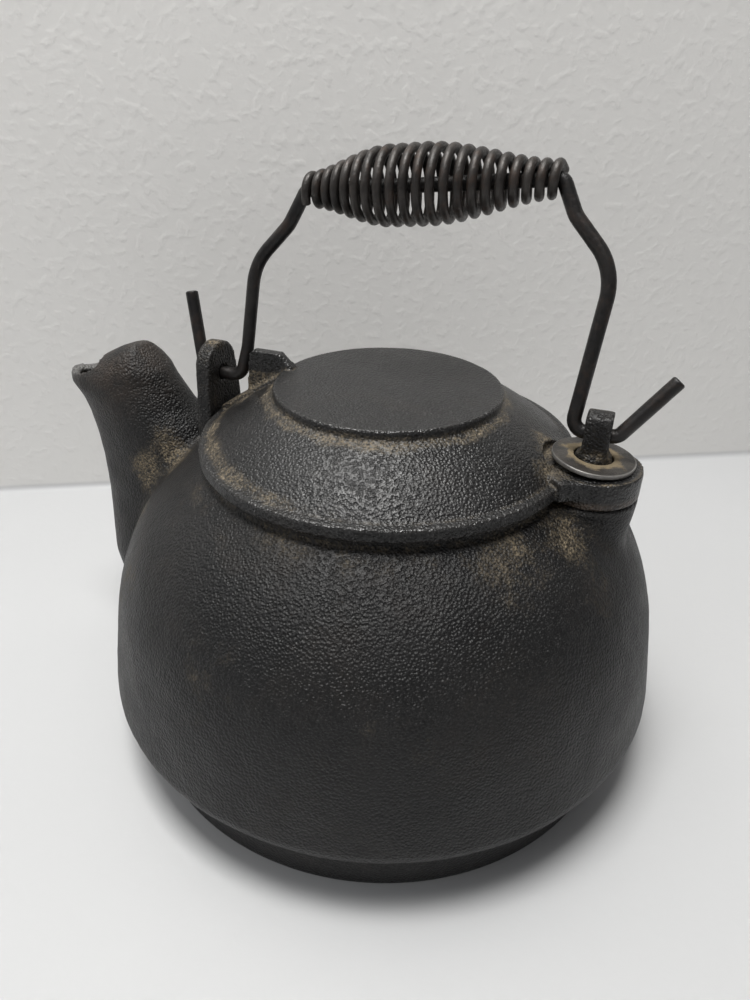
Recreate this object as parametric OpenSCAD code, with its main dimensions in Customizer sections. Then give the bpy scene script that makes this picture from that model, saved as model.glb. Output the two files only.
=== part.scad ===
// Cast iron tea kettle: a cast bowl with a hooded spout, a lid that swings sideways on a
// post at the back, a washer on that post, and a bent wire bail with a wound wire grip.
// The origin is the centre of the flat foot. The spout points to -X, the hinge post stands
// on the +X side, and +Z is up.

/* [Bowl] */
// Radius of the bowl at its widest
bowl_r = 120; // [114:1:126]
// How far the foot band stands in from the widest part
foot_inset = 10; // [8:0.5:16]
// Height of the foot band
foot_h = 24; // [16:1:32]
// How much narrower the foot band is at the floor
foot_draft = 1.5; // [0.5:0.5:3]
// Radius of the rolled edge between foot band and bowl
roll_r = 9; // [7:1:12]
// Height from the widest part to the top of the shoulder
bowl_rise = 92.5; // [86:0.5:100]
// Wall of the bowl
wall = 4.5; // [3.5:0.5:6]
// Thickness of the floor
floor_t = 6; // [4:0.5:9]
// Outer radius of the collar under the lid
collar_r = 72; // [70:0.5:73]
// Height of the collar above the shoulder
collar_h = 2.5; // [1.5:0.5:5]
// Radius of the filling mouth
mouth_r = 61; // [56:1:62]

/* [Spout] */
// Height of the top of the spout hood above the floor
hood_z = 155; // [150:1:162]
// Distance of the pouring lip from the kettle's axis
lip_reach = 158; // [152:1:164]
// Distance of the neck of the spout from the kettle's axis
neck_reach = 146; // [140:1:150]
// Half width of the spout's neck
neck_half_w = 20; // [17:0.5:22]
// How much the spout is narrower towards its front, as a share
spout_taper = 0.2; // [0:0.05:0.3]
// Wall of the spout
spout_wall = 4; // [3:0.5:5]
// Half height of the pouring mouth
pour_half_h = 8; // [7:0.2:9]
// Half width of the pouring mouth
pour_half_w = 10.8; // [9.5:0.1:11.5]
// Angle at which the pouring mouth looks up
pour_tilt = 25; // [15:1:35]

/* [Lid] */
// Radius of the lid
lid_r = 75; // [74:0.5:77]
// Thickness of the lid at its rim
rim_t = 5; // [4:0.5:6]
// Width of the flat ledge just inside the rim
ledge_w = 3.5; // [2.5:0.5:5]
// Radius of the raised flat disc
disc_r = 45; // [40:1:48]
// Height of the disc's top above the lid's underside
lid_h = 25.7; // [23:0.1:28]
// Height of the step round the disc
disc_step = 3.5; // [2:0.5:5]
// Thickness of the lid
lid_t = 4; // [3:0.5:5]
// Gap between the lid and the collar it lies on
seat_gap = 0.3; // [0.2:0.1:0.5]
// Thickness of the thumb fin
fin_t = 4.5; // [3.5:0.5:6]
// Height of the thumb fin above the disc
fin_h = 6; // [4:0.5:8]
// Half width of the raised strip under the fin
strip_half_w = 6.5; // [5:0.5:8]
// Height of the raised strip above the lid
strip_h = 1.4; // [1:0.2:2]

/* [Hinge] */
// Distance of the hinge post from the kettle's axis
post_x = 81.2; // [80.5:0.1:84]
// Radius of the boss and of the lid's lug
lug_r = 18.4; // [16:0.1:19]
// Height of the lug's top above the lid's underside
lug_rise = 7.5; // [6.5:0.5:9]
// How far the lug reaches below the lid's underside
lug_drop = 2.8; // [2:0.2:4]
// Radius of the round pivot that the lug turns on
pivot_r = 8; // [7.5:0.1:8.4]
// Running clearance round the pivot
pivot_clear = 0.1; // [0.05:0.05:0.3]
// Size of the post along X
post_a = 9.5; // [8.5:0.5:10]
// Size of the post along Y
post_b = 10.5; // [10:0.5:11]
// Height of the post's top above the bail's axis
post_top = 9; // [8:0.5:12]
// Radius of the hollow corners beside the boss
web_r = 15; // [11:1:18]

/* [Ear] */
// Thickness of the front ear
ear_t = 6.8; // [6:0.2:7.6]
// Radius of the ear's round top
ear_r = 11; // [9:0.5:12]
// Half width of the ear at its foot
ear_foot = 15; // [13:0.5:17]
// Gap between the ear and the lid's rim
ear_gap = 0.6; // [0.4:0.1:0.8]

/* [Washer] */
// Radius of the retaining washer
washer_r = 15.3; // [14:0.1:16.5]
// Thickness of the retaining washer
washer_t = 1.8; // [1.2:0.1:2.4]
// Clearance of the washer's hole round the neck of the post
washer_clear = 0.5; // [0.4:0.1:1]
// Tilt of the washer, its side towards the lid's middle being the higher one
washer_tilt = 4; // [2:0.5:5]

/* [Bail] */
// Height of the bail's axis above the floor
bail_z = 147.5; // [147:0.1:150]
// Diameter of the bail's wire
wire_d = 5.3; // [4.8:0.1:5.6]
// Clearance of the bail's wire in its two holes
wire_clear = 0.45; // [0.4:0.05:0.6]
// Lean of the bail away from upright, towards +Y
bail_lean = 14; // [8:1:20]
// Height of the grip's front end above the bail's axis
grip_front = 74.6; // [70:0.2:85]
// Height of the grip's rear end above the bail's axis
grip_rear = 83.9; // [78:0.1:92]
// Length of the rear tail of the wire
tail_rear = 27; // [15:1:32]
// Length of the front tail of the wire
tail_front = 32; // [20:1:38]

/* [Grip] */
// Diameter of the grip's wire
coil_wire_d = 3.5; // [3:0.1:3.7]
// Largest outer diameter of the grip
grip_d = 28.5; // [24:0.5:32]
// Number of turns
coil_turns = 20.4; // [16:0.1:21.5]
// Space between the bail's wire and the tight end turns
coil_clear = 0.5; // [0.2:0.1:0.8]

/* [Hidden] */
$fn = 96;

// Heights that the pieces share
foot_r = bowl_r - foot_inset;
widest_z = foot_h + roll_r;
shoulder_z = widest_z + bowl_rise;
seat_z = shoulder_z + collar_h;
lid_z = seat_z + seat_gap;
rim_z = lid_z + rim_t;
disc_z = lid_z + lid_h;
lug_bottom_z = lid_z - lug_drop;
lug_top_z = lid_z + lug_rise;
boss_top_z = lug_bottom_z - seat_gap;
pivot_top_z = lug_top_z + 0.5;

// The bowl narrows steadily by side_taper, and the rest of its drawing in
// comes late, as a power of the height
side_taper = 0.11;
shoulder_draw = 0.298;
shoulder_power = 4.2;
bowl_steps = 28;
roll_steps = 7;

function bowl_at(u) = bowl_r * (1 - side_taper * u - shoulder_draw * pow(u, shoulder_power));
function bowl_slope(u) =
    -bowl_r * (side_taper + shoulder_draw * shoulder_power * pow(u, shoulder_power - 1)) / bowl_rise;

// A point of the bowl's side, moved inwards by d along its normal
function bowl_point(u, d) =
    let (s = bowl_slope(u), n = sqrt(1 + s * s))
    [bowl_at(u) - d / n, widest_z + u * bowl_rise + d * s / n];

// A point of the rolled edge, moved inwards by d
function roll_point(a, d) =
    [bowl_r - roll_r + (roll_r - d) * cos(a), widest_z + (roll_r - d) * sin(a)];

function bowl_outline(d) = concat(
    [for (i = [0 : roll_steps - 1]) roll_point(90 * (i / roll_steps - 1), d)],
    [for (i = [0 : bowl_steps]) bowl_point(i / bowl_steps, d)]);

// Height of the bowl's outside above the floor at radius r on the shoulder
function shoulder_height(r, lo = 0, hi = 1, n = 14) =
    let (mid = (lo + hi) / 2)
    n == 0 ? widest_z + mid * bowl_rise
    : bowl_at(mid) > r ? shoulder_height(r, mid, hi, n - 1) : shoulder_height(r, lo, mid, n - 1);

/* Bowl */

module bowl_outside() {
    rotate_extrude() polygon(concat(
        [[0, 0], [foot_r - foot_draft, 0], [foot_r, foot_h]],
        bowl_outline(0),
        [[0, shoulder_z]]));
    translate([0, 0, shoulder_z - roll_r]) cylinder(r = collar_r, h = roll_r + collar_h);
}

module bowl_cavity() {
    inner = bowl_outline(wall);
    neck_z = inner[len(inner) - 1][1];
    foot_fillet = 8;
    // The foot's inside stays one wall in from the foot band and from the rolled edge above it
    inner_foot_r = min(foot_r, bowl_r - roll_r) - wall;
    rotate_extrude() polygon(concat(
        [[0, floor_t],
         [inner_foot_r - foot_fillet, floor_t],
         [inner_foot_r - foot_fillet * 0.3, floor_t + foot_fillet * 0.3],
         [inner_foot_r, floor_t + foot_fillet],
         [inner_foot_r, foot_h + wall]],
        inner,
        [[mouth_r, neck_z], [mouth_r, seat_z + 1], [0, seat_z + 1]]));
}

/* Spout: level sections, each a front and a back distance from the axis and a half width */

spout_root_z = widest_z + 5;
spout_back = 70;
spout_sections = [
    // height, front, back, half width
    [spout_root_z, bowl_r - 4, spout_back, neck_half_w + 22],
    [spout_root_z + 6, bowl_r + 4, spout_back, neck_half_w + 24],
    [spout_root_z + 13, bowl_r + 14, spout_back, neck_half_w + 23],
    [spout_root_z + 22, neck_reach - 5.7, spout_back, neck_half_w + 20],
    [spout_root_z + 34, neck_reach - 3.5, spout_back, neck_half_w + 14],
    [spout_root_z + 47, neck_reach - 2, spout_back, neck_half_w + 7.5],
    [spout_root_z + 62, neck_reach, spout_back + 2, neck_half_w + 2.5],
    [spout_root_z + 74, neck_reach + 1.8, spout_back + 12, neck_half_w],
    [hood_z - 34, neck_reach + 3.8, spout_back + 18, neck_half_w - 1.4],
    [hood_z - 27, neck_reach + 6.8, spout_back + 25, neck_half_w - 2.4],
    [hood_z - 21, lip_reach, spout_back + 29, neck_half_w - 3],
    [hood_z - 15.5, lip_reach - 0.5, spout_back + 32.5, neck_half_w - 4],
    [hood_z - 10.5, lip_reach - 15, spout_back + 35.7, neck_half_w - 5.4],
    [hood_z - 6, lip_reach - 23.5, spout_back + 40, neck_half_w - 7.9],
    [hood_z - 2.7, lip_reach - 30.5, spout_back + 43.6, neck_half_w - 11.2],
    [hood_z - 0.8, lip_reach - 35.5, spout_back + 45.6, neck_half_w - 14.5],
    [hood_z, lip_reach - 38.3, spout_back + 47, neck_half_w - 17]];
spout_sides = 32;

function spout_ring(s, d) =
    let (mid = (s[1] + s[2]) / 2, half = (s[1] - s[2]) / 2 - d)
    [for (i = [0 : spout_sides - 1])
        let (a = 360 * i / spout_sides)
        [-mid - half * cos(a), (s[3] - d) * sin(a) * (1 - spout_taper * cos(a)), s[0]]];

// A closed solid through rings of equal length, each going clockwise about the way they follow
module loft(rings) {
    n = len(rings[0]);
    m = len(rings);
    polyhedron(
        points = [for (ring = rings) for (p = ring) p],
        faces = concat(
            [[for (i = [n - 1 : -1 : 0]) i]],
            [for (j = [0 : m - 2]) for (i = [0 : n - 1])
                let (k = (i + 1) % n)
                each [[j * n + i, (j + 1) * n + k, (j + 1) * n + i],
                      [j * n + i, j * n + k, (j + 1) * n + k]]],
            [[for (i = [0 : n - 1]) (m - 1) * n + i]]));
}

module spout_outside() {
    loft([for (s = spout_sections) spout_ring(s, 0)]);
}

// The channel follows the spout one wall in, from the bowl to under the hood
channel_first = 2;
channel_last = 13;

module spout_channel() {
    low = spout_sections[channel_first];
    top = spout_sections[channel_last];
    loft(concat(
        [spout_ring([low[0] + spout_wall + 1, low[1], low[2], low[3]], spout_wall)],
        [for (i = [channel_first + 1 : channel_last]) spout_ring(spout_sections[i], spout_wall)],
        [spout_ring([hood_z - spout_wall, top[1] - 5, top[2] + 4, top[3] - 2], spout_wall)]));
}

// The mouth looks up and out of the front of the hood and leaves the lip below it.
// Its axis goes through a point this far back from the lip and down from the hood's top,
// and it is cut this far inwards and outwards from there
pour_back = 18;
pour_down = 15;
pour_inwards = 14;
pour_outwards = 40;

module pour_mouth() {
    side = pour_half_w - pour_half_h;
    translate([-lip_reach + pour_back, 0, hood_z - pour_down]) rotate([0, pour_tilt - 90, 0])
        translate([0, 0, -pour_inwards]) linear_extrude(pour_inwards + pour_outwards) {
            translate([0, -side]) circle(r = pour_half_h);
            translate([0, side]) circle(r = pour_half_h);
            square([2 * pour_half_h, 2 * side], center = true);
        }
}

/* Hinge boss, post and ear */

// Outline that joins a round of radius big at the origin to one of radius lug_r at post_x
module web_outline(big) {
    a = big + web_r;
    b = lug_r + web_r;
    x = (a * a - b * b + post_x * post_x) / (2 * post_x);
    y = sqrt(a * a - x * x);
    difference() {
        polygon([[big * 0.7, 0], [x, y], [post_x, 0], [x, -y]]);
        translate([x, y]) circle(r = web_r);
        translate([x, -y]) circle(r = web_r);
    }
}

boss_root_z = shoulder_height(post_x + lug_r) - 12;

module boss() {
    translate([post_x, 0, boss_root_z])
        cylinder(r1 = lug_r - 2.5, r2 = lug_r, h = boss_top_z - boss_root_z);
    translate([0, 0, boss_root_z + 10]) linear_extrude(boss_top_z - boss_root_z - 10)
        web_outline(collar_r);
    translate([post_x, 0, boss_root_z + 10])
        cylinder(r = pivot_r, h = pivot_top_z - boss_root_z - 10);
}

corner_r = 1.5;
post_corner = norm([post_a / 2 - corner_r, post_b / 2 - corner_r]) + corner_r;
// The round neck that carries the washer
neck_r = post_corner + 0.3;
washer_z = lug_top_z + 0.3 + washer_r * sin(washer_tilt);
neck_top_z = washer_z + washer_t + neck_r * sin(washer_tilt) + 0.2;

module post() {
    top = bail_z + post_top;
    dome_r = 8;
    translate([post_x, 0, pivot_top_z - 2]) cylinder(r = neck_r, h = neck_top_z - pivot_top_z + 2);
    translate([post_x, 0, 0]) intersection() {
        translate([0, 0, pivot_top_z - 2]) linear_extrude(top - pivot_top_z + 2) {
            for (sx = [-1, 1]) for (sy = [-1, 1])
                translate([sx * (post_a / 2 - corner_r), sy * (post_b / 2 - corner_r)])
                    circle(r = corner_r, $fn = 24);
            square([post_a, post_b - 2 * corner_r], center = true);
            square([post_a - 2 * corner_r, post_b], center = true);
        }
        union() {
            translate([-post_a, 0, top - dome_r]) rotate([0, 90, 0])
                cylinder(r = dome_r, h = 2 * post_a);
            translate([-post_a, -post_b, 0]) cube([2 * post_a, 2 * post_b, top - dome_r]);
        }
    }
}

ear_in_x = -(lid_r + ear_gap);
ear_top_z = bail_z + 2.5;

module ear() {
    foot_z = shoulder_height(lid_r + ear_t) - 4;
    translate([ear_in_x - ear_t, 0, 0]) rotate([90, 0, 90]) linear_extrude(ear_t) {
        translate([0, ear_top_z]) circle(r = ear_r);
        polygon([[-ear_foot, foot_z], [ear_foot, foot_z], [ear_r, ear_top_z], [-ear_r, ear_top_z]]);
    }
}

// How far a hole for the bail is cut on either side of the face it starts from
hole_reach = 15;

module wire_hole(x) {
    translate([x - hole_reach, 0, bail_z]) rotate([0, 90, 0])
        cylinder(r = wire_d / 2 + wire_clear, h = 2 * hole_reach);
}

module kettle_body() {
    color([0.13, 0.13, 0.135]) difference() {
        union() {
            difference() {
                union() {
                    bowl_outside();
                    spout_outside();
                    boss();
                    ear();
                }
                bowl_cavity();
                // Room for the lid's lug to turn in the edge of the collar
                translate([post_x, 0, boss_top_z]) difference() {
                    cylinder(r = lug_r + 0.5, h = 20);
                    translate([0, 0, -1]) cylinder(r = pivot_r, h = 22);
                }
            }
            post();
        }
        spout_channel();
        pour_mouth();
        wire_hole(ear_in_x);
        wire_hole(post_x);
    }
}

/* Lid */

cone_r = lid_r - ledge_w;
cone_z = rim_z + 0.4;
cone_top_z = disc_z - disc_step;
cone_bulge = 0.25;
cone_steps = 12;

// Height of the cone at a share t of its way in, the cone being slightly round
function cone_height(t) = cone_z + (cone_top_z - cone_z) * (t + cone_bulge * t * (1 - t));
function cone_point(t, d) = [cone_r + (disc_r - cone_r) * t - 0.6 * d, cone_height(t) - 0.9 * d];
function cone_line(d, dir) =
    [for (i = [0 : cone_steps]) cone_point(dir > 0 ? i / cone_steps : 1 - i / cone_steps, d)];

module lid_shell() {
    edge = 1;
    rotate_extrude() polygon(concat(
        [[lid_r - 9, lid_z], [lid_r - edge / 2, lid_z], [lid_r, lid_z + edge / 2],
         [lid_r, rim_z - edge], [lid_r - 0.3 * edge, rim_z - 0.3 * edge], [lid_r - edge, rim_z]],
        cone_line(0, 1),
        [[disc_r, disc_z - 0.8], [disc_r - 0.8, disc_z], [0, disc_z], [0, disc_z - lid_t]],
        [[disc_r - 0.6 * lid_t - 3, disc_z - lid_t]],
        cone_line(lid_t, -1)));
}

module lug() {
    translate([post_x, 0, lug_bottom_z]) cylinder(r = lug_r, h = lug_top_z - lug_bottom_z);
    translate([0, 0, lid_z]) linear_extrude(lug_top_z - lid_z) web_outline(lid_r);
}

fin_out_x = -(lid_r - 13.8);
fin_in_x = -(disc_r - 4);

module strip() {
    rotate([90, 0, 0]) translate([0, 0, -strip_half_w]) linear_extrude(2 * strip_half_w)
        polygon([[-lid_r + 1, rim_z - 2], [-lid_r + 1, rim_z + strip_h],
                 [-disc_r - 1, cone_top_z + strip_h + 0.5], [-disc_r + 2, cone_top_z + strip_h],
                 [-disc_r + 2, cone_top_z - 2]]);
}

module fin() {
    top = disc_z + fin_h;
    soft = 2;
    rotate([90, 0, 0]) translate([0, 0, -fin_t / 2]) linear_extrude(fin_t)
        polygon([[fin_out_x - 2.8, rim_z - 1], [fin_out_x, top - soft], [fin_out_x + soft, top],
                 [fin_in_x - fin_h, top], [fin_in_x, disc_z + 0.4], [fin_in_x, disc_z - 2],
                 [-disc_r - 1, cone_top_z - 2]]);
}

module lid() {
    color([0.14, 0.14, 0.145]) difference() {
        union() {
            lid_shell();
            difference() {
                lug();
                // The lid stays hollow under its cone
                translate([0, 0, lid_z - 10]) cylinder(r = lid_r - 9, h = 10 + rim_t);
            }
            strip();
            fin();
        }
        // Flat face under the washer
        translate([post_x, 0, lug_top_z]) cylinder(r = lug_r + 0.2, h = 20);
        translate([post_x, 0, lug_bottom_z - 1])
            cylinder(r = pivot_r + pivot_clear, h = lug_top_z - lug_bottom_z + 2);
    }
}

/* Washer */

module retaining_washer() {
    color([0.30, 0.28, 0.26]) translate([post_x, 0, washer_z]) rotate([0, washer_tilt, 0])
        difference() {
            cylinder(r = washer_r, h = washer_t);
            translate([0, 0, -1]) cylinder(r = neck_r + washer_clear, h = washer_t + 2);
        }
}

/* Bail: one wire in one plane, [x, height above its axis], with a bend radius at each corner */

front_pin_x = ear_in_x - ear_t - 2.5;
front_arm_x = ear_in_x + 9;
rear_arm_x = post_x - 9.5;
rear_pin_x = post_x + 7;
grip_front_x = -42.2;
grip_rear_x = 54.2;
front_tail_a = 104;
rear_tail_a = 54;
// A drawn wire gets a hair thinner where it is bent
bend_thinning = 0.05;
// How far a straight stretch reaches into the bend beside it
lap = 0.02;

bail_corners = [
    // x, height, bend radius
    [front_pin_x + tail_front * cos(front_tail_a), tail_front * sin(front_tail_a), 0],
    [front_pin_x, 0, 4],
    [front_arm_x, 0, 4.5],
    [front_arm_x + 2.3, 12, 10],
    [front_arm_x + 3.7, grip_front - 29, 22],
    [grip_front_x - 6.4, grip_front - 13, 15],
    [grip_front_x, grip_front, 3],
    [grip_rear_x, grip_rear, 3],
    [grip_rear_x + 6, grip_rear - 11.3, 12],
    [rear_arm_x + 4.5, grip_rear - 27.6, 22],
    [rear_arm_x, 0, 4.5],
    [rear_pin_x, 0, 4],
    [rear_pin_x + tail_rear * cos(rear_tail_a), tail_rear * sin(rear_tail_a), 0]];

function xy(c) = [c[0], c[1]];
function turn_cross(a, b) = a[0] * b[1] - a[1] * b[0];
function heading(a, b) = (xy(b) - xy(a)) / norm(xy(b) - xy(a));

// Length that a bend takes from the straight wire on either side of its corner
function bend_take(c, i) =
    i == 0 || i == len(c) - 1 ? 0
    : let (a = heading(c[i - 1], c[i]), b = heading(c[i], c[i + 1]))
      c[i][2] * tan(acos(a * b) / 2);

module bent_wire(c, r) {
    for (i = [0 : len(c) - 2]) {
        h = heading(c[i], c[i + 1]);
        start = xy(c[i]) + h * (bend_take(c, i) - lap);
        length = norm(xy(c[i + 1]) - xy(c[i])) - bend_take(c, i) - bend_take(c, i + 1) + 2 * lap;
        translate([start[0], 0, start[1]]) rotate([0, 90 - atan2(h[1], h[0]), 0])
            cylinder(r = r, h = length, $fn = 48);
    }
    for (i = [1 : len(c) - 2]) {
        a = heading(c[i - 1], c[i]);
        b = heading(c[i], c[i + 1]);
        turn = acos(a * b);
        centre = xy(c[i]) + (b - a) / norm(b - a) * c[i][2] / cos(turn / 2);
        left = turn_cross(a, b) > 0;
        from = left ? xy(c[i]) - a * bend_take(c, i) - centre : xy(c[i]) + b * bend_take(c, i) - centre;
        translate([centre[0], 0, centre[1]]) rotate([90, 0, 0])
            rotate([0, 0, atan2(from[1], from[0])])
                rotate_extrude(angle = turn) translate([c[i][2], 0])
                    circle(r = r - bend_thinning, $fn = 48);
    }
}

// Places what is drawn in the bail's own plane, its axis along X
module on_bail() {
    translate([0, 0, bail_z]) rotate([-bail_lean, 0, 0]) children();
}

module bail() {
    color([0.20, 0.19, 0.18]) on_bail() bent_wire(bail_corners, wire_d / 2);
}

/* Grip: one wire wound round the bail, tight at both ends and wide in the middle */

ring_per_turn = 24;
coil_rings = round(coil_turns * ring_per_turn);
// The winding starts on the bail's -Y side, a little below it and clear of the bend
coil_start_a = -30;
grip_axis = [grip_rear_x - grip_front_x, grip_rear - grip_front];
// How far the winding reaches past the bail's rear corner
coil_over_rear = 0.6;
coil_len = norm(grip_axis) + coil_over_rear - coil_wire_d;
coil_r_end = (wire_d + coil_wire_d) / 2 + coil_clear;
coil_r_mid = (grip_d - coil_wire_d) / 2;
// Shares of the grip over which it swells from its front end and from its rear end
swell_front = 0.36;
swell_rear = 0.5;
// How much closer the turns lie at the ends, as a share of their mean distance
end_bunching = 0.06;

function smooth_step(u) = let (k = max(0, min(1, u))) k * k * (3 - 2 * k);
function coil_radius(t) =
    coil_r_end + (coil_r_mid - coil_r_end) * smooth_step(t / swell_front)
        * smooth_step((1 - t) / swell_rear);
function coil_along(t) = coil_len * (t - end_bunching * sin(360 * t) / (2 * PI));
function coil_centre(i) =
    let (t = i / coil_rings, a = coil_start_a + 360 * i / ring_per_turn)
    [coil_along(t), -coil_radius(t) * cos(a), coil_radius(t) * sin(a)];
function coil_heading(i) =
    let (d = coil_centre(i + 0.5) - coil_centre(i - 0.5)) d / norm(d);

// The turns, with a straight stretch of one wire diameter at each end
coil_path = concat(
    [coil_centre(0) - coil_heading(0) * coil_wire_d],
    [for (i = [0 : coil_rings]) coil_centre(i)],
    [coil_centre(coil_rings) + coil_heading(coil_rings) * coil_wire_d]);
coil_dirs = concat(
    [coil_heading(0)],
    [for (i = [0 : coil_rings]) coil_heading(i)],
    [coil_heading(coil_rings)]);

wire_sides = 6;
function wire_ring(p, d) =
    let (u = cross(d, [1, 0, 0]) / norm(cross(d, [1, 0, 0])), v = cross(u, d))
    [for (j = [0 : wire_sides - 1])
        let (a = 360 * j / wire_sides)
        p + coil_wire_d / 2 * (u * cos(a) + v * sin(a))];

coil_gap = min([for (i = [0 : len(coil_path) - 1 - ring_per_turn / 2])
    for (j = [i + ring_per_turn / 2 : min(len(coil_path) - 1, i + 2 * ring_per_turn)])
        norm(coil_path[i] - coil_path[j])]) - coil_wire_d;
echo(least_gap_between_turns = coil_gap);

module coil_grip() {
    color([0.27, 0.25, 0.24]) on_bail()
        translate([grip_front_x, 0, grip_front])
            rotate([0, -atan2(grip_axis[1], grip_axis[0]), 0])
                translate([coil_wire_d / 2, 0, 0])
                    loft([for (i = [0 : len(coil_path) - 1]) wire_ring(coil_path[i], coil_dirs[i])]);
}

kettle_body();
lid();
retaining_washer();
bail();
coil_grip();
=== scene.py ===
from math import acos, cos, pi, radians, sin, tan

import bpy
import numpy as np
from mathutils import Matrix, Quaternion, Vector, noise


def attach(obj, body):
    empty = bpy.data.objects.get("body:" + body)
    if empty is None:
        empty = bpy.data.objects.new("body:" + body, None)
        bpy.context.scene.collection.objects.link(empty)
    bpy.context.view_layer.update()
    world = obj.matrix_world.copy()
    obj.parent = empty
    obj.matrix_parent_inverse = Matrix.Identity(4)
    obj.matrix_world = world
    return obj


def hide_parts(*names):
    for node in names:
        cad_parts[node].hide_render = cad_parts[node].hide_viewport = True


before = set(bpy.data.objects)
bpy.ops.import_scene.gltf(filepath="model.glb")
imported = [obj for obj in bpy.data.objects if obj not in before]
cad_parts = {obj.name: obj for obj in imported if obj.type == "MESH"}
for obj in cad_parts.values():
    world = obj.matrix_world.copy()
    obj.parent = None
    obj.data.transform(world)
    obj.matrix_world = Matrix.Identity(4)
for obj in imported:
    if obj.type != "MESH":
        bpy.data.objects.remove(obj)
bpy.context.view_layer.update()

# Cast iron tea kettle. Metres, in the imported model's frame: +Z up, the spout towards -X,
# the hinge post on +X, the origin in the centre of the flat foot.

MM = 0.001

# ---------------------------------------------------------------- sizes

# Bowl
BOWL_R = 120 * MM
LIP_REACH = 158 * MM
WIDEST_Z = 33 * MM
BOWL_RISE = 92.5 * MM
SHOULDER_Z = WIDEST_Z + BOWL_RISE
SIDE_TAPER, SHOULDER_DRAW, SHOULDER_POWER = 0.11, 0.298, 4.2
WALL = 4.5 * MM
FOOT_R, FOOT_H, FOOT_DRAFT = 110 * MM, 24 * MM, 1.5 * MM
ROLL_R = 9 * MM

# Lid
LID_R = 75 * MM
DISC_R = 45 * MM
LID_Z = 128.3 * MM
DISC_Z = 154 * MM
RIM_T = 5 * MM
LEDGE_W = 3.5 * MM
DISC_STEP = 3.5 * MM
CONE_BULGE = 0.25

# Post and washer
POST_X = 81.2 * MM
WASHER_R = 15.3 * MM
WASHER_T = 1.8 * MM
WASHER_HOLE_R = 7.262 * MM
WASHER_TILT = radians(4)
WASHER_Z = 137.167 * MM

# Bail, its points as (x, height above its axis)
BAIL_Z = 147.5 * MM
BAIL_LEAN = radians(14)
WIRE_R = 2.65 * MM
GRIP_FRONT = (-42.2 * MM, 74.6 * MM)
GRIP_REAR = (54.2 * MM, 83.9 * MM)
TAIL_FRONT, TAIL_FRONT_ANGLE = 32 * MM, radians(104)
TAIL_REAR, TAIL_REAR_ANGLE = 27 * MM, radians(54)
FRONT_PIN_X, FRONT_ARM_X = -84.9 * MM, -66.6 * MM
REAR_ARM_X, REAR_PIN_X = 71.7 * MM, 88.2 * MM

# Wound grip
COIL_TURNS = 20.4
COIL_START = radians(-30)
COIL_WIRE_R = 1.75 * MM
COIL_END_R = 4.9 * MM
COIL_MID_R = 12.5 * MM
COIL_OVER_REAR = 0.6 * MM
COIL_SWELL_FRONT, COIL_SWELL_REAR = 0.36, 0.5
COIL_BUNCHING = 0.06

# Places where dust lies: centre in mm, radius in mm, share
KETTLE_DUST = (
    ((75.2, -22, 117), 30, 0.85),
    ((64, -46, 116), 32, 0.6),
    ((92, -30, 104), 22, 0.55),
    ((81.2, 0, 139), 11, 1.6),
    ((81.2, 0, 157), 9, 0.5),
    ((-79, 0, 162), 13, 0.75),
    ((-94, -22, 117), 20, 1.0),
    ((-106, -24, 106), 24, 0.8),
    ((-98, -44, 96), 26, 0.6),
    ((-82, -74, 84), 34, 0.45),
    ((-74, -84, 66), 26, 0.4),
    ((-20, -104, 84), 46, 0.30),
    ((40, -100, 80), 40, 0.22),
    ((-90, 34, 112), 36, 0.7),
    ((30, 92, 104), 60, 0.4))
LID_DUST = (
    ((61.2, 0, 136), 18, 1.0),
    ((67.2, -14, 134), 16, 1.0),
    ((-62, 6, 138), 18, 0.9),
    ((-58, -7, 141), 14, 0.8),
    ((-66, 0, 136), 14, 1.0))
HOOD, HOOD_REACH = (-128, -6, 150), 40
LIP, LIP_SIZE = (-149, 0, 138), 15
CREASE_Z = 25.5 * MM

# Colours
IRON_DARK = (0.0055, 0.0054, 0.0058)
IRON_MID = (0.0120, 0.0115, 0.0117)
IRON_WARM = (0.021, 0.0165, 0.0135)
PIT_BLACK = (0.002, 0.002, 0.002)
DUST_TAN = (0.250, 0.200, 0.130)
RUST_BROWN = (0.095, 0.068, 0.050)
# Convex edges: partly rubbed bare metal, partly a painted highlight
RUBBED_EDGE_SHEEN = (0.12, 0.115, 0.11)
# Painted light: grey for the lip's upward faces, and faintly for the foot band's reflection of the
# table
PAINTED_LIGHT_GREY = (0.30, 0.295, 0.285)
BAIL_DARK, BAIL_LIGHT = (0.010, 0.0095, 0.0095), (0.024, 0.022, 0.021)
GRIP_DARK, GRIP_LIGHT = (0.020, 0.0175, 0.016), (0.050, 0.044, 0.040)
WIRE_RUST = (0.060, 0.034, 0.022)
SHEET_DARK, SHEET_LIGHT = (0.030, 0.028, 0.026), (0.070, 0.063, 0.056)
SHEET_DUST = (0.27, 0.215, 0.135)
# Washer rim: partly rubbed steel, partly a painted highlight
SHEET_RUBBED_SHEEN = (0.30, 0.29, 0.275)
TABLE_WHITE = (0.56, 0.565, 0.57)
TABLE_SCUFF = (0.30, 0.29, 0.28)
WALL_WHITE = (0.78, 0.77, 0.75)

# Room
ROOM_TURN = radians(29.3)
ROOM_HALF_W, ROOM_HALF_D, WALL_Y, WALL_H = 3.0, 2.5, 0.2126, 2.2
SEAM_R, SEAM_STEPS = 0.004, 8
CAMERA_PLACE = Vector((93.2, -250.7, 256.6)) * MM
CAMERA_TARGET = Vector((-4.7, 0.0, 100.15)) * MM
CAMERA_ROLL = radians(0.97)
CAMERA_LENS = 25.95


# ---------------------------------------------------------------- meshes

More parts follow.
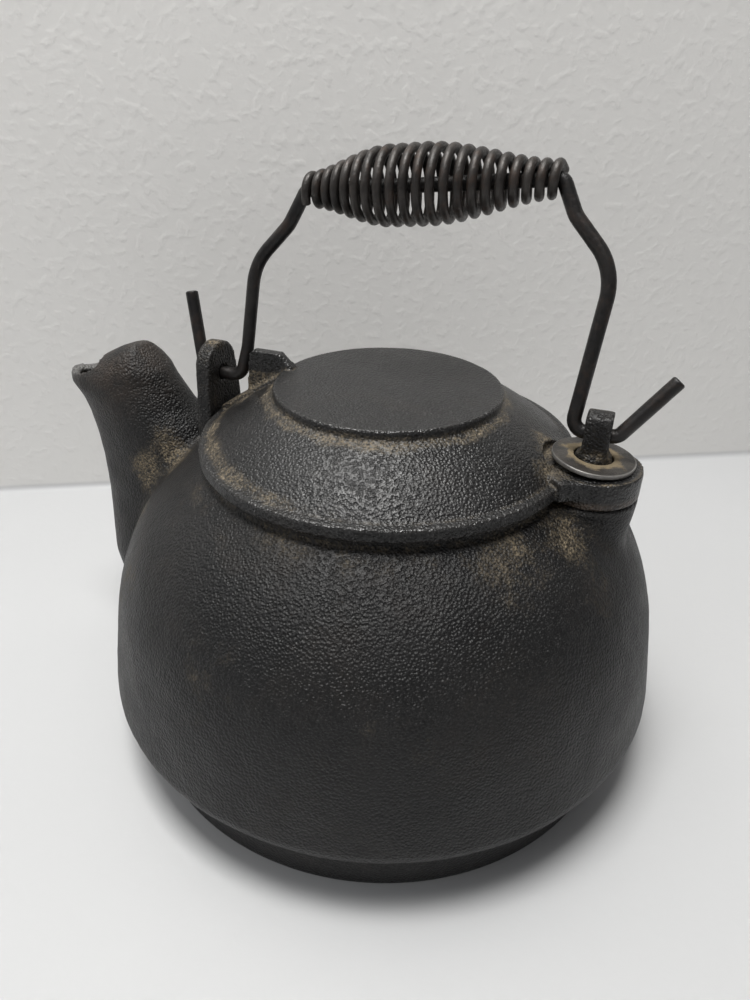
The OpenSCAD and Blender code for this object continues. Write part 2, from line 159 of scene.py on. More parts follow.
def new_piece(name, mesh):
    """An object of that mesh in the scene, smooth shaded."""
    mesh.polygons.foreach_set("use_smooth", [True] * len(mesh.polygons))
    piece = bpy.data.objects.new(name, mesh)
    bpy.context.scene.collection.objects.link(piece)
    return piece


def mesh_of(name, points, faces):
    """A mesh of those points and faces."""
    mesh = bpy.data.meshes.new(name)
    mesh.from_pydata([tuple(p) for p in points], [], faces)
    mesh.validate()
    mesh.update()
    return mesh


def even_mesh(node, name, voxel):
    """The CAD node's shape again as a closed mesh of even small faces."""
    source = bpy.data.objects.new(name + "_source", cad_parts[node].data.copy())
    bpy.context.scene.collection.objects.link(source)
    remesh = source.modifiers.new("even", "REMESH")
    remesh.mode = "VOXEL"
    remesh.voxel_size = voxel
    remesh.adaptivity = 0
    depsgraph = bpy.context.evaluated_depsgraph_get()
    mesh = bpy.data.meshes.new_from_object(source.evaluated_get(depsgraph))
    mesh.name = name
    bpy.data.objects.remove(source)
    mesh.materials.clear()
    return mesh


class Points:
    """The vertices and edges of a mesh as arrays, with the smoothing done on them."""

    def __init__(self, mesh):
        self.mesh = mesh
        self.count = len(mesh.vertices)
        places = np.empty(self.count * 3)
        mesh.vertices.foreach_get("co", places)
        self.at = places.reshape(-1, 3)
        edges = np.empty(len(mesh.edges) * 2, np.int64)
        mesh.edges.foreach_get("vertices", edges)
        self.a, self.b = edges.reshape(-1, 2).T
        ends = np.bincount(self.a, minlength=self.count) + np.bincount(self.b, minlength=self.count)
        self.degree = np.maximum(ends, 1)

    def mean_of_neighbours(self, values):
        """The mean of the values at the far ends of each point's edges."""
        total = np.bincount(self.a, values[self.b], self.count)
        total += np.bincount(self.b, values[self.a], self.count)
        return total / self.degree

    def relax(self, passes, share, weight=1.0):
        """Moves each point towards the mean of its neighbours."""
        for _ in range(passes):
            mean = np.stack([self.mean_of_neighbours(self.at[:, k]) for k in range(3)], 1)
            self.at = self.at + (mean - self.at) * share * np.reshape(weight, (-1, 1))

    def soften(self, passes):
        """Rounds sharp edges without shrinking the shape."""
        for _ in range(passes):
            self.relax(1, 0.5)
            self.relax(1, -0.53)

    def settle_on(self, profile, reach, where=1.0):
        """Moves the points that lie near a turned profile of (radius, height) onto it."""
        x, y, z = self.at.T
        r = np.hypot(x, y)
        best, to_r, to_z = np.full(self.count, np.inf), r, z
        for (r0, z0), (r1, z1) in zip(profile[:-1], profile[1:]):
            dr, dz = r1 - r0, z1 - z0
            t = np.clip(((r - r0) * dr + (z - z0) * dz) / (dr * dr + dz * dz), 0, 1)
            gap = np.hypot(r - r0 - t * dr, z - z0 - t * dz)
            closer = gap < best
            best = np.where(closer, gap, best)
            to_r = np.where(closer, r0 + t * dr, to_r)
            to_z = np.where(closer, z0 + t * dz, to_z)
        share = where * ramp(-best, -reach, -0.7 * reach)
        scale = 1 + share * (to_r / np.maximum(r, MM) - 1)
        self.at = np.stack([x * scale, y * scale, z + share * (to_z - z)], 1)

    def write(self):
        """Puts the points back in the mesh."""
        self.mesh.vertices.foreach_set("co", self.at.ravel())
        self.mesh.update()

    def normals(self):
        self.write()
        normals = np.empty(self.count * 3)
        self.mesh.vertex_normals.foreach_get("vector", normals)
        return normals.reshape(-1, 3)

    def hollow(self, passes):
        """How deep each point lies in a hollow, in metres: above 0 in a groove, below on an edge."""
        mean = self.at.copy()
        for _ in range(passes):
            mean = np.stack([self.mean_of_neighbours(mean[:, k]) for k in range(3)], 1)
        return np.sum((mean - self.at) * self.normals(), axis=1)

    def ripple(self, height, size, seed, where=1.0):
        """Moves the points along their normals by smooth noise, as on a sand casting."""
        offset = Vector((seed, 2 * seed, 3 * seed))
        amount = np.array([noise.noise(Vector(p) / size + offset) for p in self.at]) * where
        self.at = self.at + self.normals() * (height * amount)[:, None]

    def keep(self, name, values):
        """Stores one value a point, which a material reads by its name."""
        layer = self.mesh.attributes.new(name, "FLOAT", "POINT")
        layer.data.foreach_set("value", np.ascontiguousarray(values, np.float32))


def ramp(values, low, high):
    """0 below low, 1 above high, smooth between."""
    t = np.clip((np.asarray(values) - low) / (high - low), 0, 1)
    return t * t * (3 - 2 * t)


def near(points, centre, radius):
    """1 at the centre, 0 beyond the radius, both in mm."""
    distance = np.linalg.norm(points - np.array(centre) * MM, axis=1)
    return ramp(-distance, -radius * MM, 0)


def band(values, centre, half_width):
    """1 at the centre, falling to near 0 at twice the half width from it."""
    return np.exp(-((values - centre) / half_width) ** 2)


def dusted(points, dust, places):
    """The dust with that of the places laid over it."""
    for centre, radius, share in places:
        dust = np.maximum(dust, share * near(points.at, centre, radius))
    return dust


def sweep(name, path, radius, sides, end_round=0.35):
    """A tube through the points of a path, its ends rounded a little."""
    path = [Vector(p) for p in path]
    count = len(path)
    headings = []
    for i in range(count):
        headings.append((path[min(i + 1, count - 1)] - path[max(i - 1, 0)]).normalized())
    side = headings[0].orthogonal().normalized()
    rings = []
    for i, point in enumerate(path):
        side = (side - headings[i] * side.dot(headings[i])).normalized()
        rings.append((point, headings[i], side.copy(), radius(i) if callable(radius) else radius))
    lip = rings[0][3] * end_round

    def end_rings(ring, outwards):
        point, heading, across, r = ring
        quarter = [(sin(a), cos(a)) for a in (radians(30), radians(60), radians(85))]
        return [(point + heading * outwards * lip * s, heading, across, r - lip + lip * c)
                for s, c in quarter]

    rings = end_rings(rings[0], -1)[::-1] + rings + end_rings(rings[-1], 1)
    points, faces = [], []
    for point, heading, across, r in rings:
        up = heading.cross(across)
        for k in range(sides):
            a = 2 * pi * k / sides
            points.append(point + (across * cos(a) + up * sin(a)) * r)
    for j in range(len(rings) - 1):
        for k in range(sides):
            n = (k + 1) % sides
            faces.append((j * sides + k, j * sides + n, (j + 1) * sides + n, (j + 1) * sides + k))
    last = (len(rings) - 1) * sides
    points += [rings[0][0], rings[-1][0]]
    start, end = len(points) - 2, len(points) - 1
    for k in range(sides):
        n = (k + 1) % sides
        faces.append((start, n, k))
        faces.append((end, last + k, last + n))
    return mesh_of(name, points, faces)


# ---------------------------------------------------------------- shapes

def bowl_radius(z):
    """Radius of the bowl's outside at a height above its widest part."""
    u = np.clip((z - WIDEST_Z) / BOWL_RISE, 0, 1)
    return BOWL_R * (1 - SIDE_TAPER * u - SHOULDER_DRAW * u ** SHOULDER_POWER)


def arc(centre_r, centre_z, radius, first, last, steps):
    """Points of a round part of a profile, its angles in degrees from the +R axis."""
    angles = [radians(first + (last - first) * k / steps) for k in range(steps + 1)]
    return [(centre_r + radius * cos(a), centre_z + radius * sin(a)) for a in angles]


def foot_profile():
    """Outside of the foot band and of the rolled edge above it."""
    soft = 1 * MM
    bottom_r = FOOT_R - FOOT_DRAFT
    return ([(bottom_r - 8 * MM, 0)] + arc(bottom_r - soft, soft, soft, -90, 0, 4) + [(FOOT_R, FOOT_H)]
            + arc(BOWL_R - ROLL_R, WIDEST_Z, ROLL_R, -90, 0, 14)
            + [(float(bowl_radius(z * MM)), z * MM) for z in range(36, 52, 3)])


def kettle_casting():
    """Bowl, foot, spout, ear, boss and post with a cast skin, where dust and rust lie, and the painted
    light on the lip's upward faces and the foot band.
    """
    mesh = even_mesh("kettle_body", "kettle_casting", 1.1 * MM)
    points = Points(mesh)
    points.soften(5)
    x, y, z = points.at.T
    r = np.hypot(x, y)
    gap = np.abs(r - bowl_radius(z)) / (9 * MM)
    on_bowl = ramp(z, 45 * MM, 60 * MM) * ramp(-z, -SHOULDER_Z + 2 * MM, -SHOULDER_Z + 10 * MM)
    apart = ramp(r, 0, 1 * MM)
    points.relax(50, 0.5, np.exp(-gap * gap) * on_bowl * apart)
    x, y, z = points.at.T
    near_foot = ramp(-z, -46 * MM, -34 * MM) * ramp(x, -112 * MM, -104 * MM)
    points.settle_on(foot_profile(), 1.6 * MM, near_foot)
    points.ripple(0.22 * MM, 14 * MM, 3.1, ramp(z, 1 * MM, 8 * MM))
    points.ripple(0.10 * MM, 5 * MM, 7.7, ramp(z, 0, 4 * MM))
    widest = BOWL_R - 0.1 * MM
    points.at = np.clip(points.at, (-LIP_REACH, -widest, 0), (widest, widest, 1))
    x, y, z = points.at.T
    r = np.hypot(x, y)
    points.keep("hollow", ramp(points.hollow(6), 0.02 * MM, 0.45 * MM))
    points.keep("edge", ramp(-points.hollow(4), 0.06 * MM, 0.5 * MM))
    outer_r = np.where(z < FOOT_H + 1 * MM, FOOT_R - FOOT_DRAFT, bowl_radius(z))
    outside = ramp(r - outer_r, -WALL * 0.6, -WALL * 0.3)
    below_lid = ramp(-r, -98 * MM, -76 * MM) * ramp(z, 104 * MM, 122 * MM)
    dust = dusted(points, 0.30 * below_lid + 0.55 * band(z, CREASE_Z, 2 * MM), KETTLE_DUST)
    points.keep("dust", np.minimum(dust, 1) * outside)
    within = ramp(-z, -SHOULDER_Z, -SHOULDER_Z + 6 * MM) * ramp(-r, -112 * MM, -106 * MM)
    rust = 0.55 * near(points.at, HOOD, HOOD_REACH)
    points.keep("rust", np.maximum(rust, (1 - outside) * within))
    # Painted light: light grey on the lip's upward faces, where the light falls on them
    lip = near(points.at, LIP, LIP_SIZE) * ramp(points.normals()[:, 2], 0.0, 0.5)
    # Painted reflection: the foot band lightened a little for the table's light that it reflects
    painted_foot_reflection = 0.09 * outside * ramp(-z, -FOOT_H, -FOOT_H + 1 * MM)
    points.keep("painted_light", np.maximum(lip, painted_foot_reflection))
    points.write()
    return new_piece("kettle_casting", mesh)


def lid_profile():
    """Outside of the lid from its underside over rim, cone and disc."""
    soft = 0.6 * MM
    rim_z, cone_r = LID_Z + RIM_T, LID_R - LEDGE_W
    cone_z, cone_top = rim_z + 0.4 * MM, DISC_Z - DISC_STEP
    cone = []
    for k in range(13):
        t = k / 12
        height = cone_z + (cone_top - cone_z) * (t + CONE_BULGE * t * (1 - t))
        cone.append((cone_r + (DISC_R - cone_r) * t, height))
    return ([(LID_R - 9 * MM, LID_Z)] + arc(LID_R - soft, LID_Z + soft, soft, -90, 0, 3)
            + arc(LID_R - soft, rim_z - soft, soft, 0, 90, 4) + cone
            + arc(DISC_R - soft, DISC_Z - soft, soft, 0, 90, 4) + [(0, DISC_Z)])


def lid_casting():
    """The lid with a cast skin, and where dust and rust lie."""
    mesh = even_mesh("lid", "lid_casting", 0.75 * MM)
    points = Points(mesh)
    points.soften(3)
    points.settle_on(lid_profile(), 0.9 * MM)
    points.ripple(0.10 * MM, 12 * MM, 1.7)
    points.ripple(0.04 * MM, 4 * MM, 5.3)
    x, y, z = points.at.T
    r = np.hypot(x, y)
    points.keep("hollow", ramp(points.hollow(6), 0.02 * MM, 0.4 * MM))
    points.keep("edge", ramp(-points.hollow(4), 0.06 * MM, 0.45 * MM))
    above = ramp(z, LID_Z + 2 * MM, LID_Z + 4 * MM)
    left = ramp(-x, -30 * MM, 40 * MM)
    ledge = band(r, LID_R - 5 * MM, 3.5 * MM) * (0.35 + 0.65 * left)
    disc_foot = band(r, DISC_R + 2 * MM, 3.5 * MM)
    disc_foot = disc_foot * ramp(-z, -DISC_Z + 0.5 * MM, -DISC_Z + 2.5 * MM)
    dust = dusted(points, np.maximum(0.8 * ledge, 0.8 * disc_foot) * above, LID_DUST)
    strip = ramp(-np.abs(y), -7 * MM, -6 * MM) * ramp(-x, 44 * MM, 48 * MM)
    strip = strip * ramp(-z, -153 * MM, -150 * MM) * ramp(x, -75 * MM, -73 * MM)
    dust = np.maximum(dust, strip * above)
    lug_edge = band(np.hypot(x - POST_X, y), 17.4 * MM, 1 * MM) * ramp(z, 135 * MM, 135.6 * MM)
    points.keep("dust", np.maximum(dust, 0.7 * lug_edge))
    points.keep("rust", 1 - ramp(z, LID_Z - 1 * MM, LID_Z + 1 * MM))
    points.keep("painted_light", np.zeros(points.count))
    points.write()
    return new_piece("lid_casting", mesh)


def on_bail(x, height, side=0.0):
    """A point of the bail's own leaning plane in the frame."""
    return Vector((x, height * sin(BAIL_LEAN) + side * cos(BAIL_LEAN),
                   BAIL_Z + height * cos(BAIL_LEAN) - side * sin(BAIL_LEAN)))


def bent_path(corners, step):
    """Points along straight stretches and round bends through [x, height, bend radius] corners."""
    places = [Vector((c[0], c[1])) for c in corners]
    path = [places[0]]
    for i in range(1, len(corners) - 1):
        a = (places[i] - places[i - 1]).normalized()
        b = (places[i + 1] - places[i]).normalized()
        turn = acos(max(-1, min(1, a.dot(b))))
        r = corners[i][2]
        centre = places[i] + (b - a).normalized() * (r / cos(turn / 2))
        start = places[i] - a * r * tan(turn / 2) - centre
        way = 1 if a.x * b.y - a.y * b.x > 0 else -1
        straight_to(path, centre + start, step)
        pieces = max(6, int(r * turn / step))
        for k in range(1, pieces + 1):
            angle = way * turn * k / pieces
            path.append(centre + Matrix.Rotation(angle, 2) @ start)
    straight_to(path, places[-1], step)
    return path


def straight_to(path, end, step):
    """Goes on from the path's last point to its new end in steps of about that length."""
    start = path[-1]
    pieces = max(1, int((end - start).length / step))
    for k in range(1, pieces + 1):
        path.append(start.lerp(end, k / pieces))


def bail_wire():
    """The bent wire with its two tails, (x, height, bend radius) at each corner."""
    front_x, front_h = GRIP_FRONT
    rear_x, rear_h = GRIP_REAR
    corners = [
        (FRONT_PIN_X + TAIL_FRONT * cos(TAIL_FRONT_ANGLE), TAIL_FRONT * sin(TAIL_FRONT_ANGLE), 0),
        (FRONT_PIN_X, 0, 4 * MM),
        (FRONT_ARM_X, 0, 4.5 * MM),
        (FRONT_ARM_X + 2.3 * MM, 12 * MM, 10 * MM),
        (FRONT_ARM_X + 3.7 * MM, front_h - 29 * MM, 22 * MM),
        (front_x - 6.4 * MM, front_h - 13 * MM, 15 * MM),
        (front_x, front_h, 3 * MM),
        (rear_x, rear_h, 3 * MM),
        (rear_x + 6 * MM, rear_h - 11.3 * MM, 12 * MM),
        (REAR_ARM_X + 4.5 * MM, rear_h - 27.6 * MM, 22 * MM),
        (REAR_ARM_X, 0, 4.5 * MM),
        (REAR_PIN_X, 0, 4 * MM),
        (REAR_PIN_X + TAIL_REAR * cos(TAIL_REAR_ANGLE), TAIL_REAR * sin(TAIL_REAR_ANGLE), 0)]
    path = [on_bail(p.x, p.y) for p in bent_path(corners, 1.2 * MM)]

    def radius(i):
        return WIRE_R * (0.995 + 0.012 * noise.noise(path[i] / (9 * MM)))

    return new_piece("bail_rod", sweep("bail_rod", path, radius, 20, 0.3))


def smooth_step(u):
    """0 below 0, 1 above 1, smooth between."""
    k = max(0.0, min(1.0, u))
    return k * k * (3 - 2 * k)


def coil_radius(t):
    """Radius of the winding's middle line at a share of its length."""
    swell = smooth_step(t / COIL_SWELL_FRONT) * smooth_step((1 - t) / COIL_SWELL_REAR)
    return COIL_END_R + (COIL_MID_R - COIL_END_R) * swell


def grip_coil():
    """The winding round the bail, widest before its middle, its turns closer at the ends."""
    start = Vector(GRIP_FRONT)
    axis = Vector(GRIP_REAR) - start
    length = axis.length + COIL_OVER_REAR - 2 * COIL_WIRE_R
    along = axis.normalized()
    up = Vector((-along.y, along.x))
    steps_per_turn = 40
    rings = round(COIL_TURNS * steps_per_turn)
    path = []
    for i in range(rings + 1):
        t = i / rings
        turn = COIL_START + 2 * pi * COIL_TURNS * t
        r = coil_radius(t)
        way = length * (t - COIL_BUNCHING * sin(2 * pi * t) / (2 * pi))
        spot = start + along * (way + COIL_WIRE_R) + up * (r * sin(turn))
        path.append(on_bail(spot.x, spot.y, -r * cos(turn)))
    straight = 1.7 * COIL_WIRE_R
    first = path[0] + (path[0] - path[1]).normalized() * straight
    last = path[-1] + (path[-1] - path[-2]).normalized() * straight
    path = [first] + path + [last]
    return new_piece("grip_winding", sweep("grip_winding", path, COIL_WIRE_R, 14, 0.3))


def washer_disc():
    """A sheet washer with rounded edges, a little wavy from use."""
    edge = 0.5 * MM
    profile = []
    for centre_r, centre_z, first in (
            (WASHER_HOLE_R + edge, edge, 180), (WASHER_R - edge, edge, 270),
            (WASHER_R - edge, WASHER_T - edge, 0), (WASHER_HOLE_R + edge, WASHER_T - edge, 90)):
        for k in range(5):
            a = radians(first + 90 * k / 4)
            profile.append((centre_r + edge * cos(a), centre_z + edge * sin(a)))
    steps = 128
    points, faces = [], []
    tilt = Matrix.Rotation(WASHER_TILT, 3, "Y")
    place = Vector((POST_X, 0, WASHER_Z))
    for j in range(steps):
        a = 2 * pi * j / steps
        for r, z in profile:
            out = (r - WASHER_HOLE_R) / (WASHER_R - WASHER_HOLE_R)
            wave = 0.16 * MM * out * sin(2 * a + 0.6) + 0.05 * MM * out * sin(5 * a)
            spot = Vector((r * cos(a), r * sin(a), z + wave))
            points.append(tilt @ spot + place)
    n = len(profile)
    for j in range(steps):
        for k in range(n):
            faces.append((j * n + k, ((j + 1) % steps) * n + k,
                          ((j + 1) % steps) * n + (k + 1) % n, j * n + (k + 1) % n))
    return new_piece("washer_disc", mesh_of("washer_disc", points, faces))


# ---------------------------------------------------------------- materials

class Look:
    """One procedural material, with short names for the nodes that it is made of."""

    def __init__(self, name):
        self.material = bpy.data.materials.new(name)
        self.material.use_nodes = True
        self.tree = self.material.node_tree
        self.surface = self.tree.nodes["Principled BSDF"]
        self.place = self.tree.nodes.new("ShaderNodeTexCoord").outputs["Object"]

    def node(self, kind, inputs, output=0, **settings):
        """A new node with its inputs fed; gives one of its outputs."""
        made = self.tree.nodes.new(kind)
        for key, value in settings.items():
            setattr(made, key, value)
        for key, value in inputs.items():
            self.feed(made.inputs[key], value)
        return made.outputs[output]

    def feed(self, socket, value):
        """Links an output to the socket, or sets the socket's own value."""
        if isinstance(value, bpy.types.NodeSocket):
            self.tree.links.new(value, socket)
        else:
            socket.default_value = value

    def noise(self, size, detail=4.0, roughness=0.55, distortion=0.0):
        """Noise whose features are about that size in metres."""
        return self.node("ShaderNodeTexNoise", {
            "Vector": self.place, "Scale": 1 / size, "Detail": detail,
            "Roughness": roughness, "Distortion": distortion})

    def cells(self, size):
        """Distance to the middle of cells of about that size in metres."""
        return self.node("ShaderNodeTexVoronoi", {"Vector": self.place, "Scale": 1 / size}, "Distance")

    def value(self, name):
        """A value that the mesh keeps at its points."""
        return self.node("ShaderNodeAttribute", {}, "Fac", attribute_name=name)

    def range(self, value, low, high, to_low=0.0, to_high=1.0):
        """The value taken smoothly from one range to another, and held at its ends."""
        return self.node("ShaderNodeMapRange", {
            "Value": value, "From Min": low, "From Max": high,
            "To Min": to_low, "To Max": to_high}, interpolation_type="SMOOTHSTEP")

    def calc(self, operation, a, b=0.0, c=0.0):
        """One step of arithmetic."""
        made = self.tree.nodes.new("ShaderNodeMath")
        made.operation = operation
        for socket, value in zip(made.inputs, (a, b, c)):
            self.feed(socket, value)
        return made.outputs[0]

    def mix(self, share, a, b):
        """Colour a turned towards colour b by the share."""
        made = self.tree.nodes.new("ShaderNodeMix")
        made.data_type = "RGBA"
        self.feed(made.inputs["Factor"], share)
        for socket, value in ((made.inputs[6], a), (made.inputs[7], b)):
            self.feed(socket, (*value, 1) if isinstance(value, tuple) else value)
        return made.outputs[2]

    def bump(self, height, distance, strength=1.0, normal=None):
        """A normal tilted by that height, on top of another one."""
        inputs = {"Height": height, "Distance": distance, "Strength": strength}
        if normal is not None:
            inputs["Normal"] = normal
        return self.node("ShaderNodeBump", inputs)

    def finish(self, color, roughness, normal, metallic=0.0, specular=0.5):
        """Joins the results to the surface and gives the material."""
        self.feed(self.surface.inputs["Base Color"], color)
        self.feed(self.surface.inputs["Roughness"], roughness)
        self.feed(self.surface.inputs["Normal"], normal)
        self.surface.inputs["Metallic"].default_value = metallic
        self.surface.inputs["Specular IOR Level"].default_value = specular
        return self.material


def cast_iron(name, rough, pebble, dusting, specular):
    """Seasoned sand-cast iron: fine grain, dust in the hollows, a brown tint where it was worn,
    painted highlights on the edges and painted light on the lip and foot band.
    """
    look = Look(name)
    patches = look.noise(0.040, 5, 0.6)
    grain = look.noise(0.0026, 4, 0.65)
    fine = look.noise(0.0009, 2, 0.6)
    pebbles = look.cells(0.0011)
    color = look.mix(look.range(patches, 0.35, 0.65), IRON_DARK, IRON_MID)
    warm = look.range(look.noise(0.030, 6, 0.65, 0.4), 0.50, 0.74, 0, 0.5)
    color = look.mix(warm, color, IRON_WARM)
    uneven = look.range(look.noise(0.012, 6, 0.65), 0.30, 0.62)
    rust = look.calc("MULTIPLY", look.value("rust"), uneven)
    color = look.mix(look.calc("MULTIPLY", rust, 0.9), color, RUST_BROWN)
    # Dust lies closer together the higher its share is
    share = look.value("dust")
    low = look.calc("MULTIPLY_ADD", share, -0.42, 0.62)
    settled = look.range(look.noise(0.013, 7, 0.72), low, look.calc("ADD", low, 0.30))
    most = look.calc("MINIMUM", look.calc("MULTIPLY", share, 1.5), 0.9)
    settled = look.calc("MULTIPLY", settled, most)
    broken = look.range(look.noise(0.007, 5, 0.6), 0.3, 0.6, 0, 0.6)
    crevice = look.calc("MULTIPLY", look.value("hollow"), broken)
    film = look.calc("MULTIPLY", look.range(look.noise(0.050, 7, 0.7, 0.6), 0.50, 0.75), 0.05)
    dust = look.calc("MAXIMUM", look.calc("MAXIMUM", settled, crevice), film)
    grains = look.calc("MULTIPLY", look.range(fine, 0.36, 0.62, 0.2, 1.0),
                       look.range(grain, 0.34, 0.60, 0.35, 1.0))
    dust = look.calc("MULTIPLY", dust, grains)
    specks = look.range(look.noise(0.0016, 4, 0.75), 0.665, 0.74, 0, 0.22)
    dust = look.calc("MULTIPLY", look.calc("MAXIMUM", dust, specks), dusting)
    color = look.mix(dust, color, DUST_TAN)
    # Convex edges lightened: partly rubbed bare metal, partly a painted highlight
    color = look.mix(look.calc("MULTIPLY", look.value("edge"), 0.2), color, RUBBED_EDGE_SHEEN)
    # Painted light: light grey on the lip's upward faces and a faint lightening of the foot band
    painted_light = look.calc("MULTIPLY", look.value("painted_light"), look.range(grain, 0.3, 0.6, 0.6, 1.0))
    color = look.mix(painted_light, color, PAINTED_LIGHT_GREY)
    color = look.mix(look.range(fine, 0.30, 0.70, 0.55, 0.0), color, PIT_BLACK)
    roughness = look.range(look.noise(0.02, 6, 0.65), 0.3, 0.7, rough - 0.07, rough + 0.05)
    roughness = look.calc("ADD", roughness, look.calc("MULTIPLY", dust, 0.4))
    roughness = look.calc("SUBTRACT", roughness, look.calc("MULTIPLY", look.value("edge"), 0.12))
    normal = look.bump(look.range(pebbles, 0.05, 0.75), 0.00034 * pebble, 0.9)
    normal = look.bump(fine, 0.00040 * pebble, 0.9, normal)
    normal = look.bump(grain, 0.00026 * pebble, 0.5, normal)
    return look.finish(color, roughness, normal, specular=specular)


def drawn_wire(name, dark, light, rust_share, scale):
    """Dark drawn wire in uneven dark and lighter patches, lightly rusted."""
    look = Look(name)
    patches = look.noise(0.010 * scale, 6, 0.65)
    fine = look.noise(0.0016, 6, 0.7)
    color = look.mix(look.range(patches, 0.35, 0.68), dark, light)
    rust = look.calc("MULTIPLY", look.range(look.noise(0.006, 7, 0.7), 0.48, 0.68), rust_share)
    color = look.mix(rust, color, WIRE_RUST)
    roughness = look.range(fine, 0.3, 0.7, 0.28, 0.46)
    roughness = look.calc("ADD", roughness, look.calc("MULTIPLY", rust, 0.25))
    normal = look.bump(fine, 0.0003, 0.7)
    normal = look.bump(patches, 0.0006, 0.5, normal)
    return look.finish(color, roughness, normal, metallic=0.35)


def worn_washer(name):
    """Dark sheet steel: dust round the hole, rubbed along its edge, where a painted highlight lightens
    it.
    """
    look = Look(name)
    out = look.node("ShaderNodeVectorMath", {0: look.place, 1: (POST_X, 0, WASHER_Z + WASHER_T)},
                    "Value", operation="DISTANCE")
    patches = look.noise(0.008, 6, 0.65)
    color = look.mix(look.range(patches, 0.35, 0.65), SHEET_DARK, SHEET_LIGHT)
    near_hole = look.range(out, 0.0078, 0.0125, 1.0, 0.25)
    low = look.calc("MULTIPLY_ADD", near_hole, -0.34, 0.64)
    dust = look.range(look.noise(0.007, 7, 0.7), low, look.calc("ADD", low, 0.16), 0, 0.9)
    color = look.mix(dust, color, SHEET_DUST)
    worn = look.range(look.noise(0.01, 4), 0.35, 0.6, 0.4, 1.0)
    # The rim ring lightened: partly rubbed steel, partly a painted highlight
    rubbed_and_sheen = look.calc("MULTIPLY", look.range(out, 0.0147, 0.0153), worn)
    color = look.mix(rubbed_and_sheen, color, SHEET_RUBBED_SHEEN)
    fine = look.noise(0.0012, 6, 0.7)
    roughness = look.range(fine, 0.3, 0.7, 0.28, 0.46)
    roughness = look.calc("ADD", roughness, look.calc("MULTIPLY", dust, 0.35))
    normal = look.bump(fine, 0.00022, 0.7)
    normal = look.bump(dust, 0.0002, 0.6, normal)
    return look.finish(color, roughness, normal, metallic=0.55)


def pale_room(name):
    """A table top with faint scuffs, and above it a wall with a troweled skin.

    Each sheet shows only from its front, so that the room never hides the kettle.
    """
    look = Look(name)
    height = look.node("ShaderNodeSeparateXYZ", {"Vector": look.place}, "Z")
    up = look.range(height, 0.002, 0.006)
    duller = tuple(c * 0.97 for c in TABLE_WHITE)
    shade = look.mix(look.range(look.noise(0.4, 3), 0.3, 0.7), TABLE_WHITE, duller)
    scuffs = look.range(look.noise(0.0022, 5, 0.7), 0.68, 0.76, 0, 0.12)
    shade = look.mix(scuffs, shade, TABLE_SCUFF)
    color = look.mix(up, shade, WALL_WHITE)
    skin = look.range(look.noise(0.006, 2, 0.4), 0.45, 0.75)
    normal = look.bump(skin, 0.0008, look.calc("MULTIPLY", up, 0.18))
    normal = look.bump(look.noise(0.004, 3), 0.0003, 0.2, normal)
    roughness = look.range(look.noise(0.05, 4), 0.3, 0.7, 0.48, 0.58)
    room = look.finish(color, roughness, normal)
    behind = look.node("ShaderNodeNewGeometry", {}, "Backfacing")
    clear = look.node("ShaderNodeBsdfTransparent", {})
    shown = look.node("ShaderNodeMixShader", {0: behind, 1: look.surface.outputs["BSDF"], 2: clear})
    look.feed(look.tree.nodes["Material Output"].inputs["Surface"], shown)
    return room


# ---------------------------------------------------------------- stage, light and camera

def make_floor():
    """A pale table top, and a wall at its back with a small round along the seam."""
    turn = Matrix.Rotation(ROOM_TURN, 3, "Z")
    room = pale_room("pale_room")
    rise = arc(WALL_Y - SEAM_R, SEAM_R, SEAM_R, -90, 0, SEAM_STEPS) + [(WALL_Y, WALL_H)]
    for name, profile in (("table_top", [(-ROOM_HALF_D, 0.0), (ROOM_HALF_D, 0.0)]), ("wall", rise)):
        points = [turn @ Vector((side * ROOM_HALF_W, y, z)) for y, z in profile for side in (-1, 1)]
        faces = [(2 * k, 2 * k + 1, 2 * k + 3, 2 * k + 2) for k in range(len(profile) - 1)]
        sheet = new_piece(name, mesh_of(name, points, faces))
        sheet.data.materials.append(room)


def make_light(name, place, target, size, watts, color):
    """A flat lamp that faces its target."""
    data = bpy.data.lights.new(name, "AREA")
    data.shape = "RECTANGLE"
    data.size, data.size_y = size
    data.energy = watts
    data.color = color
    lamp = bpy.data.objects.new(name, data)
    lamp.location = place
    lamp.rotation_euler = (Vector(target) - Vector(place)).to_track_quat("-Z", "Y").to_euler()
    bpy.context.scene.collection.objects.link(lamp)


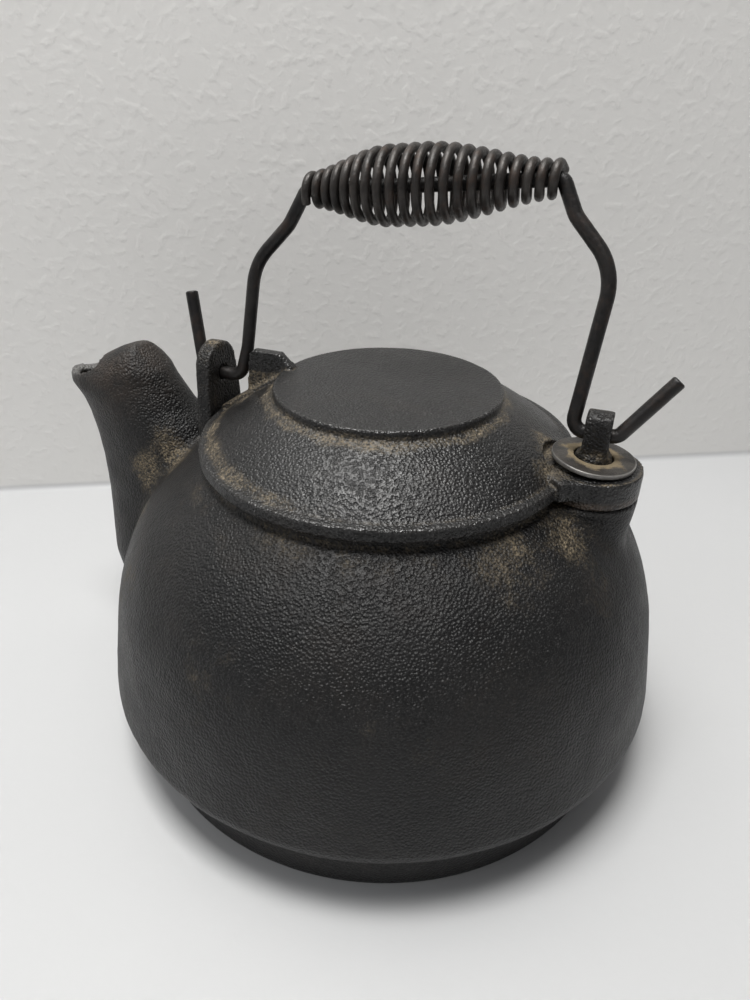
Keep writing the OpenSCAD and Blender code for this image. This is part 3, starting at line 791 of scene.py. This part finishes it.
def make_lights():
    """A ceiling lamp, a weak fill from the spout's side and the room's own light."""
    make_light("ceiling", (-0.08, -0.20, 1.5), (0, 0, 0.1), (0.6, 0.45), 22, (1.0, 0.99, 0.97))
    make_light("room_fill", (-0.9, -1.1, 1.5), (0, 0.2, 0.15), (1.2, 0.9), 6, (0.97, 0.985, 1.0))
    world = bpy.data.worlds.new("room")
    world.use_nodes = True
    world.node_tree.nodes["Background"].inputs["Color"].default_value = (0.80, 0.80, 0.82, 1)
    world.node_tree.nodes["Background"].inputs["Strength"].default_value = 0.22
    bpy.context.scene.world = world


def make_camera():
    """The camera, placed as the photograph's was."""
    data = bpy.data.cameras.new("camera")
    data.lens = CAMERA_LENS
    data.sensor_width = 36
    camera = bpy.data.objects.new("camera", data)
    look = (CAMERA_TARGET - CAMERA_PLACE).to_track_quat("-Z", "Y")
    camera.location = CAMERA_PLACE
    camera.rotation_euler = (look @ Quaternion((0, 0, 1), CAMERA_ROLL)).to_euler()
    bpy.context.scene.collection.objects.link(camera)
    bpy.context.scene.camera = camera


# ---------------------------------------------------------------- the kettle

def dress(piece, material, body, slot, *nodes):
    """Gives a piece its material and its body, and hides the nodes that it stands for; the slot is not
    used.
    """
    piece.data.materials.append(material)
    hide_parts(*nodes)
    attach(piece, body)


make_camera()
make_floor()
make_lights()
dress(kettle_casting(), cast_iron("seasoned_iron", 0.47, 1.0, 1.0, 0.36),
      "kettle", "cast_iron", "kettle_body")
dress(lid_casting(), cast_iron("lid_seasoning", 0.37, 0.8, 0.9, 0.55), "lid", "lid_iron", "lid")
dress(washer_disc(), worn_washer("worn_washer"), "washer", "washer_steel", "retaining_washer")
dress(bail_wire(), drawn_wire("bail_steel", BAIL_DARK, BAIL_LIGHT, 0.30, 1.4),
      "bail", "bail_wire", "bail")
dress(grip_coil(), drawn_wire("grip_steel", GRIP_DARK, GRIP_LIGHT, 0.5, 1.0),
      "bail", "grip_wire", "coil_grip")

bpy.context.scene.view_settings.view_transform = "Standard"
